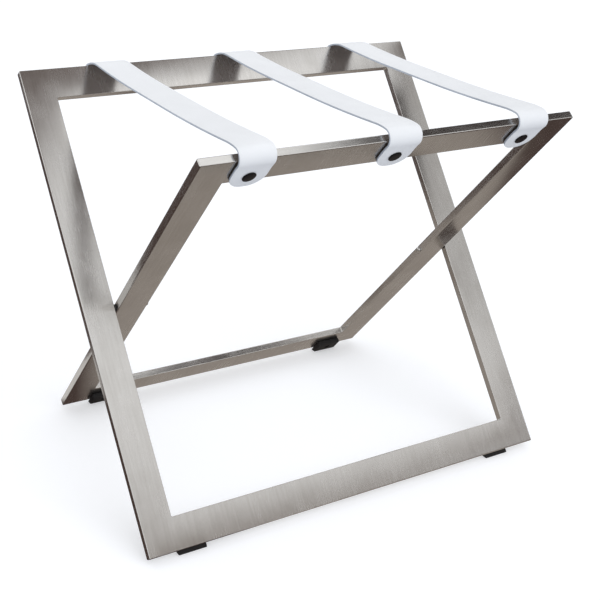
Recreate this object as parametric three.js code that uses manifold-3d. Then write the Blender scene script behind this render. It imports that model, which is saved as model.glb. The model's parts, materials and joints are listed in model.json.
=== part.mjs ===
// A folding luggage rack. Two mitred frames of flat steel tube cross on a pivot, one inside the
// other, and three leather straps over their top rails hold them open.
// Millimetres, +Z up, X along the rails, +Y to the rear. The origin is on the floor, under the pivot.
// The outer frame stands at the front and leans to the rear. The inner frame leans the other way.
import * as THREE from "three";
import { mergeVertices } from "three/addons/utils/BufferGeometryUtils.js";
import Module from "manifold-3d";

// Frames
const OUTER_WIDTH = 590; // across the outside of the outer frame
const SIDE_GAP = 2.5; // between an outer leg and the inner leg beside it
const LEG_ABOVE = 315; // along a leg, from the pivot to the top edge
const LEG_BELOW = 298; // along a leg, from the pivot to the bottom edge
const LEG_ANGLE = 51; // degrees between a leg and the floor
const BAR_WIDTH = 40; // the wide face, in the plane of the frame
const BAR_THICKNESS = 10;
const BAR_WALL = 1.2;
const BAR_EDGE = 1; // radius of the tube's outside edges
const MITRE_GAP = 0.3; // root of the weld between two bars

// Clearances
const SEAT_GAP = 0.3; // between a piece and the face that it is seated on
const FIT_GAP = 0.3; // all round a shank or a sleeve in its hole

// Feet
const FOOT_LENGTH = 38; // along the rail
const FOOT_HEIGHT = 28; // along the leg, on the glued face
const FOOT_THICKNESS = 7;
const FOOT_DROP = 6; // reach of the glued face past the rail's bottom edge
const FOOT_SCREW_DIAMETER = 4;
const FOOT_SCREW_HEAD = 8;
const FOOT_SCREW_HEAD_HEIGHT = 2.4;
const FOOT_SCREW_SINK = 1.2; // depth of the screw's top below the pad's face
const FOOT_SCREW_REACH = 3; // past the inside of the tube's wall

// Pivot
const PIVOT_DIAMETER = 5;
const PIVOT_HEAD = 8.6;
const PIVOT_HEAD_HEIGHT = 2.8;
const PIVOT_HEAD_TOP = 4.3; // across the flat top of the domed head
const PIVOT_HEAD_MIDDLE = 7.2; // and halfway up it
const BUSH_WALL = 0.6;
const SPACER_DIAMETER = 9.4;
const PIVOT_INSERT_LENGTH = 14;
const INSERT_WALL = 0.8;

// Straps
const STRAP_INSET = 66; // from the inner frame's side to the place of the strap beside it
const STRAP_FRONT = -1.5; // a strap's shift to the right of its place, on the front rail
const STRAP_REAR = 5.5; // and on the rear rail
const STRAP_WIDTH = 44;
const STRAP_THICKNESS = 2.5;
const STRAP_CORNER = 20; // radius of the corners at a strap's end
const STRAP_END = 19; // from a screw to the end of the strap
const BEND_RADIUS = 4.8; // inside of the bend round a rail's top edge
const BEND_DEPTH = 3; // from that edge down to the centre of the bend
const FRONT_ARCH_ANGLE = 28; // degrees at which a strap still rises where the front bend ends
const FRONT_ARCH_RADIUS = 55; // of the arch in which it springs off the front rail
const REAR_ARCH_ANGLE = 40; // and the same at the rear rail
const REAR_ARCH_RADIUS = 42;
const STRAP_SAG = 2.5; // from the top of the front arch down to the level part
const SAG_ANGLE = 5; // degrees at which a strap falls from an arch to the level part

// Strap screws and their inserts
const FRONT_SCREW_DROP = 26; // from the front rail's top edge down to the screw
const REAR_SCREW_DROP = 15; // and from the rear rail's
const SCREW_DIAMETER = 5;
const SCREW_HEAD = 16;
const SCREW_HEAD_RIM = 0.8;
const SCREW_HEAD_HEIGHT = 2;
const FLANGE_DIAMETER = 10;
const FLANGE_HEIGHT = 0.8;
const INSERT_END_GAP = 1.8; // from the insert's end to the far wall of the tube

// Facets
const ROUND_SIDES = 20;
const EDGE_STEPS = 3;
const MERGE_DISTANCE = 1e-4; // corners nearer than this are one corner

// Worked out from the sizes above
const angle = THREE.MathUtils.degToRad(LEG_ANGLE);
const innerWidth = OUTER_WIDTH - 2 * BAR_WIDTH - 2 * SIDE_GAP;
const face = BAR_THICKNESS / 2; // from the middle of a bar to its wide face
const footSeat = face + SEAT_GAP;
const pivotHeight = (LEG_BELOW + FOOT_DROP) * Math.sin(angle) + footSeat * Math.cos(angle);
const pivotBore = PIVOT_DIAMETER / 2 + FIT_GAP;
const screwBore = SCREW_DIAMETER / 2 + FIT_GAP;
const footBore = FOOT_SCREW_DIAMETER / 2 + FIT_GAP;
const flangeTop = face + SEAT_GAP + FLANGE_HEIGHT;
const strapSeat = flangeTop + SEAT_GAP;
const strapFace = strapSeat + STRAP_THICKNESS;
const insertEnd = BAR_WALL + INSERT_END_GAP - face;

// Finishes
const STEEL = { color: 0xb9b7b3, roughness: 0.36, metalness: 1 };
const BRIGHT_STEEL = { color: 0xd6d5d1, roughness: 0.2, metalness: 1 };
const LEATHER = { color: 0xebeef4, roughness: 0.6, metalness: 0 };
const RUBBER = { color: 0x171517, roughness: 0.85, metalness: 0 };
const BLACK_STEEL = { color: 0x1b191b, roughness: 0.5, metalness: 0.4 };
const NYLON = { color: 0x141315, roughness: 0.55, metalness: 0 };

const wasm = await Module();
wasm.setup();

// A closed geometry as a solid that can be cut.
function toSolid(geometry) {
  const bare = geometry.clone();
  bare.deleteAttribute("normal");
  bare.deleteAttribute("uv");
  const merged = mergeVertices(bare, MERGE_DISTANCE);
  return new wasm.Manifold(
    new wasm.Mesh({
      numProp: 3,
      vertProperties: merged.attributes.position.array,
      triVerts: merged.index.array,
    }),
  );
}

// The geometry with each tool taken away.
function cut(geometry, tools) {
  let solid = toSolid(geometry);
  for (const tool of tools) solid = solid.subtract(toSolid(tool));
  const mesh = solid.getMesh();
  const result = new THREE.BufferGeometry();
  result.setAttribute("position", new THREE.BufferAttribute(mesh.vertProperties, 3));
  result.setIndex(new THREE.BufferAttribute(mesh.triVerts, 1));
  result.computeVertexNormals();
  return result;
}

// A turned piece. The profile is a list of [radius, height] pairs, and its axis lies along Z.
function turned(profile) {
  const points = profile.map(([radius, height]) => new THREE.Vector2(radius, height));
  return new THREE.LatheGeometry(points, ROUND_SIDES).rotateX(Math.PI / 2);
}

// A sleeve along Z, from height 0.
function sleeve(inside, outside, length) {
  return turned([
    [inside, 0],
    [outside, 0],
    [outside, length],
    [inside, length],
    [inside, 0],
  ]);
}

// A drill along Z, between two heights.
function drill(radius, from, to) {
  const tool = new THREE.CylinderGeometry(radius, radius, to - from, ROUND_SIDES);
  return tool.rotateX(Math.PI / 2).translate(0, 0, (from + to) / 2);
}

// Lays a piece that was made along Z along X instead.
function alongX(geometry) {
  return geometry.rotateY(Math.PI / 2);
}

function addPiece(group, name, geometry, finish) {
  const mesh = new THREE.Mesh(geometry, new THREE.MeshStandardMaterial(finish));
  mesh.name = name;
  group.add(mesh);
}

// A rectangle about the origin, with rounded corners where a radius is given.
function rectangle(target, width, height, radius) {
  const x = width / 2;
  const y = height / 2;
  target.moveTo(x, radius - y);
  target.lineTo(x, y - radius);
  if (radius > 0) target.absarc(x - radius, y - radius, radius, 0, Math.PI / 2);
  target.lineTo(radius - x, y);
  if (radius > 0) target.absarc(radius - x, y - radius, radius, Math.PI / 2, Math.PI);
  target.lineTo(-x, radius - y);
  if (radius > 0) target.absarc(radius - x, radius - y, radius, Math.PI, 1.5 * Math.PI);
  target.lineTo(x - radius, -y);
  if (radius > 0) target.absarc(x - radius, radius - y, radius, 1.5 * Math.PI, 2 * Math.PI);
  target.closePath();
  return target;
}

// A length of flat tube along Y, with its outer side at +X. Both ends are mitred at 45 degrees by
// drawing each end point in by its distance from the outer side.
function mitredBar(length) {
  const section = rectangle(new THREE.Shape(), BAR_WIDTH, BAR_THICKNESS, BAR_EDGE);
  const hollowEdge = Math.max(BAR_EDGE - BAR_WALL, 0);
  const hollow = [BAR_WIDTH - 2 * BAR_WALL, BAR_THICKNESS - 2 * BAR_WALL];
  section.holes.push(rectangle(new THREE.Path(), hollow[0], hollow[1], hollowEdge));
  const bar = new THREE.ExtrudeGeometry(section, {
    depth: length,
    bevelEnabled: false,
    curveSegments: EDGE_STEPS,
  });
  const points = bar.attributes.position;
  for (let i = 0; i < points.count; i += 1) {
    const inset = BAR_WIDTH / 2 - points.getX(i) + MITRE_GAP * Math.SQRT1_2;
    points.setZ(i, points.getZ(i) > length / 2 ? length - inset : inset);
  }
  return bar.translate(0, 0, -length / 2).rotateX(-Math.PI / 2);
}

// The straps' ends, by name: the shift from a strap's place, where its screw is along the leg, and
// the angle and the radius of the arch.
const strapEnds = {
  front: {
    shift: STRAP_FRONT,
    level: LEG_ABOVE - FRONT_SCREW_DROP,
    arch: THREE.MathUtils.degToRad(FRONT_ARCH_ANGLE),
    radius: FRONT_ARCH_RADIUS,
  },
  rear: {
    shift: STRAP_REAR,
    level: LEG_ABOVE - REAR_SCREW_DROP,
    arch: THREE.MathUtils.degToRad(REAR_ARCH_ANGLE),
    radius: REAR_ARCH_RADIUS,
  },
};

// The straps' places across the rack, by name.
const sidePlace = innerWidth / 2 - STRAP_INSET;
const strapPlaces = { left: -sidePlace, middle: 0, right: sidePlace };

// A rubber pad on the bottom rail, from its inner to its outer end, cut level with the floor.
function footPad() {
  const floorAt = (depth) => (depth * Math.cos(angle) - pivotHeight) / Math.sin(angle);
  const top = FOOT_HEIGHT - LEG_BELOW - FOOT_DROP;
  const outside = footSeat + FOOT_THICKNESS;
  const outline = new THREE.Shape([
    new THREE.Vector2(top, footSeat),
    new THREE.Vector2(top, outside),
    new THREE.Vector2(floorAt(outside), outside),
    new THREE.Vector2(floorAt(footSeat), footSeat),
  ]);
  const pad = new THREE.ExtrudeGeometry(outline, { depth: FOOT_LENGTH, bevelEnabled: false });
  const axes = [new THREE.Vector3(0, 1, 0), new THREE.Vector3(0, 0, 1), new THREE.Vector3(1, 0, 0)];
  pad.applyMatrix4(new THREE.Matrix4().makeBasis(...axes));
  return pad.translate(-FOOT_LENGTH / 2, 0, 0);
}

// Along the leg, the middle of the pad's outside face, where its screw is.
const footScrewLevel =
  (FOOT_HEIGHT - LEG_BELOW - FOOT_DROP +
    ((footSeat + FOOT_THICKNESS) * Math.cos(angle) - pivotHeight) / Math.sin(angle)) / 2;
const footScrewTop = footSeat + FOOT_THICKNESS - FOOT_SCREW_SINK;
const footScrewSeat = footScrewTop - FOOT_SCREW_HEAD_HEIGHT;

function footScrew() {
  const end = face - BAR_WALL - FOOT_SCREW_REACH;
  return turned([
    [0, end],
    [FOOT_SCREW_DIAMETER / 2, end],
    [FOOT_SCREW_DIAMETER / 2, footScrewSeat],
    [FOOT_SCREW_HEAD / 2, footScrewSeat],
    [FOOT_SCREW_HEAD / 2, (footScrewSeat + footScrewTop) / 2],
    [FOOT_SCREW_DIAMETER / 2, footScrewTop],
    [0, footScrewTop],
  ]);
}

function footHoles() {
  const past = footSeat + FOOT_THICKNESS + FIT_GAP;
  return [
    drill(footBore, footSeat - FIT_GAP, past),
    drill(FOOT_SCREW_HEAD / 2 + FIT_GAP, footScrewSeat - SEAT_GAP, past),
  ];
}

function strapScrew() {
  const seat = strapFace + SEAT_GAP;
  return turned([
    [0, insertEnd],
    [SCREW_DIAMETER / 2, insertEnd],
    [SCREW_DIAMETER / 2, seat],
    [SCREW_HEAD / 2, seat],
    [SCREW_HEAD / 2, seat + SCREW_HEAD_RIM],
    [SCREW_HEAD / 3, seat + (SCREW_HEAD_RIM + 2 * SCREW_HEAD_HEIGHT) / 3],
    [0, seat + SCREW_HEAD_HEIGHT],
  ]);
}

function strapInsert() {
  const body = screwBore + INSERT_WALL;
  return turned([
    [screwBore, insertEnd],
    [body, insertEnd],
    [body, face + SEAT_GAP],
    [FLANGE_DIAMETER / 2, face + SEAT_GAP],
    [FLANGE_DIAMETER / 2, flangeTop],
    [screwBore, flangeTop],
    [screwBore, insertEnd],
  ]);
}

// One frame in its own group: X across, Y up along the legs from the pivot, and Z out of the face
// that looks down, which carries the feet and the strap screws. The inner frame's X is the rack's
// own. The outer frame is turned half round, so its right leg has the rack's left side.
function makeFrame(name, width, turnedRound, legHole, strapEnd) {
  const group = new THREE.Group();
  group.position.z = pivotHeight;
  group.rotation.set(Math.PI - angle, 0, turnedRound ? Math.PI : 0, "ZYX");
  const hand = turnedRound ? -1 : 1;
  const sideName = (side) => (side * hand > 0 ? "right" : "left");
  const legLength = LEG_ABOVE + LEG_BELOW;
  const legPlace = (width - BAR_WIDTH) / 2;
  const legMiddle = (LEG_ABOVE - LEG_BELOW) / 2;
  const legInside = width / 2 - BAR_WIDTH;
  const footPlace = legInside - FOOT_LENGTH / 2;

  for (const side of [1, -1]) {
    const bore = alongX(drill(legHole.radius, legInside - FIT_GAP, legInside + legHole.depth));
    const leg = cut(mitredBar(legLength).translate(legPlace, legMiddle, 0), [bore]);
    if (side < 0) leg.rotateY(Math.PI);
    addPiece(group, `${name}_${sideName(side)}_leg`, leg, STEEL);

    const foot = cut(footPad(), footHoles().map((tool) => tool.translate(0, footScrewLevel, 0)));
    addPiece(group, `${name}_${sideName(side)}_foot`, foot.translate(side * footPlace, 0, 0), RUBBER);
    const screw = footScrew().translate(side * footPlace, footScrewLevel, 0);
    addPiece(group, `${name}_${sideName(side)}_foot_screw`, screw, BLACK_STEEL);
  }

  const insertHole = screwBore + INSERT_WALL + FIT_GAP;
  const { shift, level } = strapEnds[strapEnd];
  const topHoles = [];
  for (const [strap, place] of Object.entries(strapPlaces)) {
    const x = (place + shift) * hand;
    topHoles.push(drill(insertHole, 0, face + FIT_GAP).translate(x, level, 0));
    addPiece(group, `${strapEnd}_${strap}_insert`, strapInsert().translate(x, level, 0), BRIGHT_STEEL);
    addPiece(group, `${strapEnd}_${strap}_strap_screw`, strapScrew().translate(x, level, 0), BLACK_STEEL);
  }
  const topRail = mitredBar(width).rotateZ(Math.PI / 2).translate(0, LEG_ABOVE - BAR_WIDTH / 2, 0);
  addPiece(group, `${name}_top_rail`, cut(topRail, topHoles), STEEL);

  const bottomHoles = [footPlace, -footPlace].map((x) =>
    drill(footBore, 0, face + FIT_GAP).translate(x, footScrewLevel, 0),
  );
  const bottomRail = mitredBar(width).rotateZ(-Math.PI / 2).translate(0, BAR_WIDTH / 2 - LEG_BELOW, 0);
  addPiece(group, `${name}_bottom_rail`, cut(bottomRail, bottomHoles), STEEL);

  group.updateMatrixWorld(true);
  return group;
}

// The bolt, bush, spacer and threaded insert of the pivot on one side, made on the right.
function addPivot(group, side) {
  const name = side > 0 ? "right" : "left";
  const legInside = innerWidth / 2 - BAR_WIDTH;
  const outerInside = OUTER_WIDTH / 2 - BAR_WIDTH;
  const headSeat = legInside - SEAT_GAP;
  const boltEnd = outerInside + PIVOT_INSERT_LENGTH;
  const bolt = turned([
    [0, headSeat - PIVOT_HEAD_HEIGHT],
    [PIVOT_HEAD_TOP / 2, headSeat - PIVOT_HEAD_HEIGHT],
    [PIVOT_HEAD_MIDDLE / 2, headSeat - PIVOT_HEAD_HEIGHT / 2],
    [PIVOT_HEAD / 2, headSeat],
    [PIVOT_DIAMETER / 2, headSeat],
    [PIVOT_DIAMETER / 2, boltEnd],
    [0, boltEnd],
  ]);
  const bush = sleeve(pivotBore, pivotBore + BUSH_WALL, BAR_WIDTH);
  const spacer = sleeve(pivotBore, SPACER_DIAMETER / 2, SIDE_GAP - 2 * SEAT_GAP);
  const insert = sleeve(pivotBore, pivotBore + INSERT_WALL, PIVOT_INSERT_LENGTH);
  const pieces = [
    [`${name}_pivot_bolt`, bolt, BRIGHT_STEEL],
    [`${name}_pivot_bush`, bush.translate(0, 0, legInside), NYLON],
    [`${name}_pivot_spacer`, spacer.translate(0, 0, innerWidth / 2 + SEAT_GAP), NYLON],
    [`outer_${name}_pivot_insert`, insert.translate(0, 0, outerInside), BRIGHT_STEEL],
  ];
  for (const [pieceName, geometry, finish] of pieces) {
    alongX(geometry);
    if (side < 0) geometry.rotateZ(Math.PI);
    addPiece(group, pieceName, geometry, finish);
  }
}

// The middle line of a strap in the Y, Z plane, from its front end to its rear end: flat on the rail
// under the screw, round the rail's top edge, over an arch and down to the level part, then the same
// the other way. The rear end is drawn at the front as well, and mirrored.
function strapLine() {
  const middle = strapSeat + STRAP_THICKNESS / 2;
  const bendRadius = BEND_RADIUS + STRAP_THICKNESS / 2;
  const bendLevel = LEG_ABOVE - BEND_DEPTH;
  const sag = THREE.MathUtils.degToRad(SAG_ANGLE);
  const upright = Math.PI / 2;
  const at = (level, depth) =>
    new THREE.Vector2(
      -level * Math.cos(angle) - depth * Math.sin(angle),
      pivotHeight + level * Math.sin(angle) - depth * Math.cos(angle),
    );
  const off = (centre, distance, turn) =>
    new THREE.Vector2(centre.x - distance * Math.sin(turn), centre.y + distance * Math.cos(turn));
  const mirrored = (point) => new THREE.Vector2(-point.x, point.y);
  const arc = (centre, radius, from, to, clockwise) =>
    new THREE.EllipseCurve(centre.x, centre.y, radius, radius, from, to, clockwise);

  const flatEnd = at(bendLevel, middle);
  const bend = at(bendLevel, middle - bendRadius);
  const crownOf = ({ arch, radius }) => off(bend, bendRadius - radius, arch);
  const height = crownOf(strapEnds.front).y + FRONT_ARCH_RADIUS - STRAP_SAG;
  const shape = (end) => {
    const tip = at(end.level - STRAP_END, middle);
    const crown = crownOf(end);
    const sagRadius = (crown.y + end.radius - height) / (1 - Math.cos(sag)) - end.radius;
    const dip = off(crown, end.radius + sagRadius, -sag);
    return { ...end, tip, crown, sagRadius, dip, foot: off(dip, -sagRadius, 0) };
  };
  const front = shape(strapEnds.front);
  const rear = shape(strapEnds.rear);

  const line = new THREE.CurvePath();
  line.add(new THREE.LineCurve(front.tip, flatEnd));
  line.add(arc(bend, bendRadius, 3 * upright - angle, upright + front.arch, true));
  line.add(arc(front.crown, front.radius, upright + front.arch, upright - sag, true));
  line.add(arc(front.dip, front.sagRadius, 3 * upright - sag, 3 * upright, false));
  line.add(new THREE.LineCurve(front.foot, mirrored(rear.foot)));
  line.add(arc(mirrored(rear.dip), rear.sagRadius, 3 * upright, 3 * upright + sag, false));
  line.add(arc(mirrored(rear.crown), rear.radius, upright + sag, upright - rear.arch, true));
  line.add(arc(mirrored(bend), bendRadius, upright - rear.arch, angle - upright, true));
  line.add(new THREE.LineCurve(mirrored(flatEnd), mirrored(rear.tip)));
  return { line, bendY: bend.x };
}

// Distances along a strap from its front end at which its section is drawn: close together round
// the corners of its ends, the bends and the arches.
function strapStations(line) {
  const CORNER_STEPS = 8;
  const BEND_STEPS = 9;
  const ARCH_STEPS = 7;
  const SAG_STEPS = 3;
  const spread = (from, to, steps) =>
    Array.from({ length: steps + 1 }, (_, k) => from + ((to - from) * k) / steps);
  const ends = line.getCurveLengths();
  const length = line.getLength();
  const corner = spread(0, Math.PI / 2, CORNER_STEPS).map((turn) => STRAP_CORNER * (1 - Math.cos(turn)));
  const stations = [...corner, ends[0]];
  const steps = [BEND_STEPS, ARCH_STEPS, SAG_STEPS, 1, SAG_STEPS, ARCH_STEPS, BEND_STEPS];
  steps.forEach((count, k) => stations.push(...spread(ends[k], ends[k + 1], count).slice(1)));
  return stations.concat(corner.map((distance) => length - distance).reverse());
}

// Half the strap's width at a distance from its nearer end, with the corners rounded.
function strapHalfWidth(distance) {
  const rest = Math.max(STRAP_CORNER - distance, 0);
  return STRAP_WIDTH / 2 - STRAP_CORNER + Math.sqrt(STRAP_CORNER ** 2 - rest ** 2);
}

// A strap as a loft of rectangles along its middle line.
function strapBand(place) {
  const { line, bendY } = strapLine();
  const length = line.getLength();
  const stations = strapStations(line);
  const points = [];
  for (const distance of stations) {
    const centre = line.getPoint(distance / length);
    const along = line.getTangent(distance / length);
    const half = strapHalfWidth(Math.min(distance, length - distance));
    const across = THREE.MathUtils.clamp(0.5 - centre.x / (2 * bendY), 0, 1);
    const x = place + THREE.MathUtils.lerp(STRAP_FRONT, STRAP_REAR, across);
    for (const [side, layer] of [[-1, -1], [1, -1], [1, 1], [-1, 1]]) {
      const lift = (layer * STRAP_THICKNESS) / 2;
      points.push(x + side * half, centre.x - along.y * lift, centre.y + along.x * lift);
    }
  }
  const faces = [0, 1, 2, 0, 2, 3];
  for (let ring = 0; ring < 4 * (stations.length - 1); ring += 4) {
    for (let k = 0; k < 4; k += 1) {
      const a = ring + k;
      const b = ring + ((k + 1) % 4);
      faces.push(a, a + 4, b + 4, a, b + 4, b);
    }
  }
  const last = 4 * (stations.length - 1);
  faces.push(last, last + 2, last + 1, last, last + 3, last + 2);
  const band = new THREE.BufferGeometry();
  band.setAttribute("position", new THREE.Float32BufferAttribute(points, 3));
  band.setIndex(faces);
  return band;
}

const rack = new THREE.Group();
const legHoles = {
  inner: { radius: pivotBore + BUSH_WALL + FIT_GAP, depth: BAR_WIDTH + FIT_GAP },
  outer: { radius: pivotBore + INSERT_WALL + FIT_GAP, depth: PIVOT_INSERT_LENGTH + FIT_GAP },
};
const outerFrame = makeFrame("outer", OUTER_WIDTH, true, legHoles.outer, "rear");
const innerFrame = makeFrame("inner", innerWidth, false, legHoles.inner, "front");
rack.add(outerFrame, innerFrame);

const pivot = new THREE.Group();
pivot.position.z = pivotHeight;
addPivot(pivot, 1);
addPivot(pivot, -1);
rack.add(pivot);

// The hole for a strap's screw at one end of it.
function strapHole(group, end, place, hand) {
  const hole = drill(screwBore, face, strapFace + FIT_GAP);
  return hole.translate((place + end.shift) * hand, end.level, 0).applyMatrix4(group.matrixWorld);
}

for (const [strap, place] of Object.entries(strapPlaces)) {
  const holes = [
    strapHole(innerFrame, strapEnds.front, place, 1),
    strapHole(outerFrame, strapEnds.rear, place, -1),
  ];
  addPiece(rack, `${strap}_strap`, cut(strapBand(place), holes), LEATHER);
}

export default rack;
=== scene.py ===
# %% [markdown]
# A folding luggage rack
#
# Two mitred frames of flat steel tube cross on a pivot, and three white leather straps over their
# top rails hold them open. The solids of the rack are loaded first. They give the places and the
# sizes, and each cell below dresses one piece of them.

# %% Load the solids
import json
import math

import bmesh
import bpy
from mathutils import Euler, Matrix, Vector

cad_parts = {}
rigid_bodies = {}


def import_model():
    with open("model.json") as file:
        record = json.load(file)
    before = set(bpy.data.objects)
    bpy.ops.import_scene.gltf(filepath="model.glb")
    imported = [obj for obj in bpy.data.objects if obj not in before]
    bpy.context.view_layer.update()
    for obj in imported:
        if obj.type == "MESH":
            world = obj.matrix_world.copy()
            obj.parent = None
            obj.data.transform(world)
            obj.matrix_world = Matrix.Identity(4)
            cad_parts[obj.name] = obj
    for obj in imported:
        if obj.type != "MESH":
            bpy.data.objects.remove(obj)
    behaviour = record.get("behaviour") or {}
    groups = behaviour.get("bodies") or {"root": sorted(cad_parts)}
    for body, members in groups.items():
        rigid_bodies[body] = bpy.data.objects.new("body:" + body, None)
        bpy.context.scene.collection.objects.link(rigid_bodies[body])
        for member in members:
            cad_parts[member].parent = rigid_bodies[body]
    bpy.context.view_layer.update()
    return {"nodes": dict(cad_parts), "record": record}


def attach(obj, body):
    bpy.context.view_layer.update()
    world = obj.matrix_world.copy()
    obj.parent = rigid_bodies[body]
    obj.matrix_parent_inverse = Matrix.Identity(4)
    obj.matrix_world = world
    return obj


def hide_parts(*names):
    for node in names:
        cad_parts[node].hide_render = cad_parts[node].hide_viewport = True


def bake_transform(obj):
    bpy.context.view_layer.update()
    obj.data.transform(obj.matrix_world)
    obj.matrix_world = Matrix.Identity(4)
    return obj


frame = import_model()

print("solids loaded:", len(frame["nodes"]))

# %% [markdown]
# The sizes of the rack, in metres. A leg leans at 51 degrees, and everything on a frame is measured
# along the leg from the pivot and out of the frame's lower face, so each frame is modelled lying flat
# and is then stood up. That is easier than working in a tilted plane.

# %% Sizes
MM = 0.001
OUTER_WIDTH = 590 * MM
INNER_WIDTH = 505 * MM
LEG_ABOVE = 315 * MM
LEG_BELOW = 298 * MM
LEG_ANGLE = math.radians(51)
BAR_WIDTH = 40 * MM
BAR_THICKNESS = 10 * MM
PIVOT_HEIGHT = 239.588 * MM
UP_LEG = Vector((0, -math.cos(LEG_ANGLE), math.sin(LEG_ANGLE)))
OFF_FACE = Vector((0, -math.sin(LEG_ANGLE), -math.cos(LEG_ANGLE)))
PIVOT = Vector((0, 0, PIVOT_HEIGHT))


def on_inner_frame(across, along, off):
    """A point of the inner frame: across the rack, up the leg and out of the lower face."""
    return PIVOT + Vector((across, 0, 0)) + UP_LEG * along + OFF_FACE * off


print("front rail's top edge at", [round(value, 4) for value in on_inner_frame(0, LEG_ABOVE, 0)])

# %% [markdown]
# A few helpers stand in for the hand on the mouse. One clears the selection, one picks faces, edges
# or points by where they are, and one adds a modifier and applies it at once. Others drill a hole, make a
# copy, and set the shading.

# %% Helpers
FACING = 0.9


def clear():
    """Leaves edit mode and selects nothing."""
    if bpy.context.object and bpy.context.object.mode != "OBJECT":
        bpy.ops.object.mode_set(mode="OBJECT")
    bpy.ops.object.select_all(action="DESELECT")


def take(piece):
    """Makes one piece the selected and active one."""
    clear()
    piece.select_set(True)
    bpy.context.view_layer.objects.active = piece


def named(name):
    """Names the object that was just added."""
    piece = bpy.context.object
    piece.name = name
    piece.data.name = name
    return piece


def settle(piece):
    """Puts the object's place, turn and scale into its mesh."""
    take(piece)
    bpy.ops.object.transform_apply(location=True, rotation=True, scale=True)


def pick(kind, test):
    """In edit mode, selects the points, edges or faces whose middle (and normal) pass a test."""
    bpy.ops.mesh.select_mode(type=kind)
    bpy.ops.mesh.select_all(action="DESELECT")
    shape = bmesh.from_edit_mesh(bpy.context.object.data)
    chosen = 0
    if kind == "VERT":
        for point in shape.verts:
            if test(point.co):
                point.select_set(True)
                chosen += 1
    if kind == "EDGE":
        for edge in shape.edges:
            ends = [point.co for point in edge.verts]
            if test(ends[0], ends[1]):
                edge.select_set(True)
                chosen += 1
    if kind == "FACE":
        for face in shape.faces:
            if test(face.calc_center_median(), face.normal):
                face.select_set(True)
                chosen += 1
    shape.select_flush_mode()
    bmesh.update_edit_mesh(bpy.context.object.data)
    return chosen


def facing(direction):
    """A test that picks the faces which look in a direction."""
    return lambda middle, normal: normal.dot(Vector(direction)) > FACING


def modify(piece, kind, **settings):
    """Adds a modifier with these settings and applies it."""
    take(piece)
    bpy.ops.object.modifier_add(type=kind)
    modifier = piece.modifiers[-1]
    for key, value in settings.items():
        setattr(modifier, key, value)
    bpy.ops.object.modifier_apply(modifier=modifier.name)


def drill_out(piece, radius, length, middle, turn, sides=32):
    """Cuts a round hole with a cylinder that is then thrown away."""
    clear()
    bpy.ops.mesh.primitive_cylinder_add(
        vertices=sides, radius=radius, depth=length, location=middle, rotation=turn
    )
    tool = named("drill")
    modify(piece, "BOOLEAN", operation="DIFFERENCE", object=tool, solver="EXACT")
    bpy.data.objects.remove(tool)


def smooth(piece, degrees=35):
    """Smooth shading, with an edge kept wherever the surface turns by more than this."""
    take(piece)
    bpy.ops.object.shade_smooth_by_angle(angle=math.radians(degrees))


def copy_of(piece, name):
    """A copy with a mesh of its own."""
    twin = piece.copy()
    twin.data = piece.data.copy()
    twin.name = name
    twin.data.name = name
    bpy.context.scene.collection.objects.link(twin)
    return twin


# %% [markdown]
# The camera looks down at the rack from the front left. Its place was found by matching the corners
# of the two frames to the photograph, which also shows that the picture was turned by a few degrees
# and cropped off centre. A small lens shift stands for the crop.

# %% Camera
CAMERA_PLACE = (-0.750, -1.116, 0.825)
CAMERA_HEADING = math.radians(31.6)
CAMERA_DIP = math.radians(25.0)
CAMERA_ROLL = math.radians(3.2)
LENS_SHIFT = 0.085
# The sensor and the lens, in millimetres.
SENSOR_WIDTH = 36
FOCAL_LENGTH = 66.66

clear()
bpy.ops.object.camera_add(location=CAMERA_PLACE)
camera = bpy.context.object
camera.name = "camera"
level_view = Euler((math.pi / 2 - CAMERA_DIP, 0, -CAMERA_HEADING)).to_matrix()
camera.rotation_euler = (level_view @ Matrix.Rotation(CAMERA_ROLL, 3, "Z")).to_euler()
camera.data.sensor_width = SENSOR_WIDTH
camera.data.lens = FOCAL_LENGTH
camera.data.shift_x = LENS_SHIFT
bpy.context.scene.camera = camera
print("camera at", CAMERA_PLACE)

# %% [markdown]
# Each frame is four lengths of flat tube, mitred, welded and ground flush, then brushed all over.
# The welded frame looks like one piece, so it is made as one: a flat plane with a window inset in it,
# drawn up to the tube's thickness. The real edges of such tube are rounded by a millimetre or two,
# and that thin bright line is what makes it read as tube and not as sheet.

# %% Welded frames
BAR_EDGE = 1.4 * MM
WELD_FILLET = 1.6 * MM


def welded_frame(name, width):
    """A frame lying flat, with the pivot at the origin and the lower face upwards."""
    clear()
    middle = (LEG_ABOVE - LEG_BELOW) / 2
    bpy.ops.mesh.primitive_plane_add(size=1, location=(0, middle, -BAR_THICKNESS / 2))
    piece = named(name)
    piece.scale = (width, LEG_ABOVE + LEG_BELOW, 1)
    settle(piece)
    bpy.ops.object.mode_set(mode="EDIT")
    bpy.ops.mesh.select_all(action="SELECT")
    bpy.ops.mesh.inset(thickness=BAR_WIDTH, depth=0)
    bpy.ops.mesh.delete(type="FACE")
    bpy.ops.mesh.select_all(action="SELECT")
    bpy.ops.mesh.extrude_region_move(TRANSFORM_OT_translate={"value": (0, 0, BAR_THICKNESS)})
    bpy.ops.mesh.select_all(action="SELECT")
    bpy.ops.mesh.normals_make_consistent(inside=False)
    inside = width / 2 - BAR_WIDTH

    def is_inner_corner(a, b):
        upright = abs(a.z - b.z) > BAR_THICKNESS / 2
        return upright and abs(abs(a.x) - inside) < MM

    pick("EDGE", is_inner_corner)
    bpy.ops.mesh.bevel(offset=WELD_FILLET, segments=3)
    bpy.ops.object.mode_set(mode="OBJECT")
    modify(
        piece,
        "BEVEL",
        width=BAR_EDGE,
        segments=3,
        limit_method="ANGLE",
        angle_limit=math.radians(50),
        use_clamp_overlap=False,
    )
    return piece


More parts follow.
